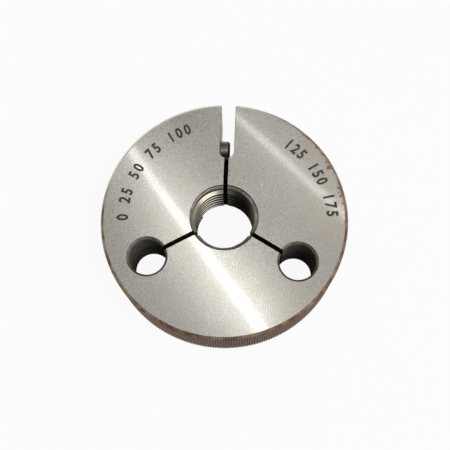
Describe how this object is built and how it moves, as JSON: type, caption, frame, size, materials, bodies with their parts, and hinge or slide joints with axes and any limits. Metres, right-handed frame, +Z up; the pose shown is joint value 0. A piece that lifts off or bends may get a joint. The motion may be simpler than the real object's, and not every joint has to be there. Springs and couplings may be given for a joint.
{
  "type": "thread ring gauge",
  "caption": "Adjustable thread ring gauge: a slotted steel disc with a threaded centre bore, relief holes, a knurled rim and two opposed set screws across the locking slot.",
  "frame": {"origin": "on the bore axis at the bottom face, the face that the gauge lies on", "axes": "+Z up along the bore axis; +Y towards the open end of the locking slot; +X along the screws, from the adjusting screw to the locking screw"},
  "size_m": [0.054, 0.0539, 0.0127],
  "materials": {
    "ground_steel": "ground and lapped faces, knurled rim with light rust",
    "dark_screw_steel": "turned, oiled, dull"
  },
  "bodies": {
    "root": {"gauge_body": "ground_steel", "adjusting_screw": "dark_screw_steel", "locking_screw": "dark_screw_steel"}
  },
  "joints": []
}
